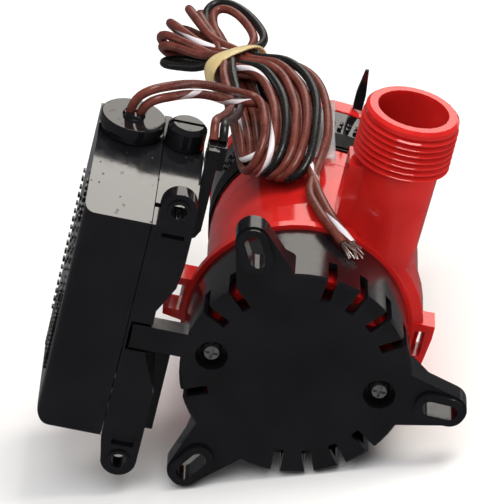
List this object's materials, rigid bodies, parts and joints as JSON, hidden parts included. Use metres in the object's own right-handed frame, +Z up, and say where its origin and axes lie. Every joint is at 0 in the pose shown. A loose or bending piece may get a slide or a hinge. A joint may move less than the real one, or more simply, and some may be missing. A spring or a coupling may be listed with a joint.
{
  "type": "submersible bilge pump with float switch",
  "caption": "Round submersible pump with a side hose outlet, slotted strainer base on three ears, a boxed float switch on an arm, and a banded hank of leads.",
  "frame": {"origin": "middle of the machine's box without its leads, on the surface it lies on", "axes": "+Z up off the surface, +Y from the strainer foot to the motor's rear cap, +X from the float switch to the outlet"},
  "size_m": [0.1508, 0.1913, 0.1352],
  "materials": {
    "black_plastic": "fine matt grain, satin on edges",
    "gloss_black": "glossy moulded",
    "red_plastic": "glossy moulded",
    "stainless": "plain",
    "copper": "bare copper",
    "bronze": "sintered bronze",
    "ferrite": "pressed ferrite and carbon",
    "seal_rubber": "soft black rubber",
    "white_plastic": "satin",
    "board": "printed circuit board",
    "brown_lead": "PVC insulation, satin",
    "black_lead": "PVC insulation, satin",
    "grey_lead": "PVC insulation, satin",
    "band": "translucent pale rubber",
    "film": "frosted clear film"
  },
  "bodies": {
    "pump": {"strainer_base": "black_plastic", "base_screw_far": "stainless", "base_screw_near": "stainless", "pump_housing": "red_plastic", "cartridge_shell": "red_plastic", "housing_o_ring": "seal_rubber", "lock_collar": "gloss_black", "rear_cap": "red_plastic", "cable_gland": "seal_rubber", "motor_can": "stainless", "magnet_near": "ferrite", "magnet_far": "ferrite", "front_bushing": "bronze", "motor_end_bell": "black_plastic", "rear_bushing": "bronze", "shaft_seal": "seal_rubber", "brush_near": "ferrite", "brush_far": "ferrite", "switch_housing": "gloss_black", "switch_cover": "black_plastic", "switch_bracket": "black_plastic", "cable_cap": "gloss_black", "float_pin": "stainless", "circuit_board": "board", "reed_switch": "copper", "lead_connector": "gloss_black", "hank_front": "brown_lead", "hank_rear": "brown_lead", "hank_loop": "black_lead", "rubber_band": "band", "label_tag": "film", "switch_lead_a": "brown_lead", "switch_lead_b": "brown_lead", "link_lead_a": "brown_lead", "link_lead_b": "grey_lead", "motor_lead_a": "brown_lead", "motor_lead_b": "black_lead", "tail_lead_a": "brown_lead", "tail_lead_b": "film"},
    "rotor": {"impeller": "white_plastic", "motor_shaft": "stainless", "armature": "copper", "commutator": "copper"},
    "float_arm": {"float": "white_plastic", "float_magnet": "ferrite"},
    "knob": {"test_knob": "gloss_black"},
    "release_lever": {"release_tab": "gloss_black"}
  },
  "joints": [
    {"name": "rotor_spin", "type": "hinge", "parent": "pump", "child": "rotor", "pos_m": [0.01749, -0.01545, 0.03795], "axis": [0, 1, -0.0056], "continuous": true},
    {"name": "float_lift", "type": "hinge", "parent": "pump", "child": "float_arm", "pos_m": [-0.04243, -0.05014, 0.09416], "axis": [0.9435, -0.0018, -0.3314], "range_deg": [0, 20]},
    {"name": "knob_turn", "type": "hinge", "parent": "pump", "child": "knob", "pos_m": [-0.01498, -0.03201, 0.11728], "axis": [0.3314, 0.0052, 0.9435], "range_deg": [0, 90]},
    {"name": "lever_flex", "type": "hinge", "parent": "pump", "child": "release_lever", "pos_m": [0.03701, 0.05923, 0.07047], "axis": [0.9435, -0.0018, -0.3314], "range_deg": [-8, 8], "stiffness_Nm_per_rad": 0.05}
  ]
}
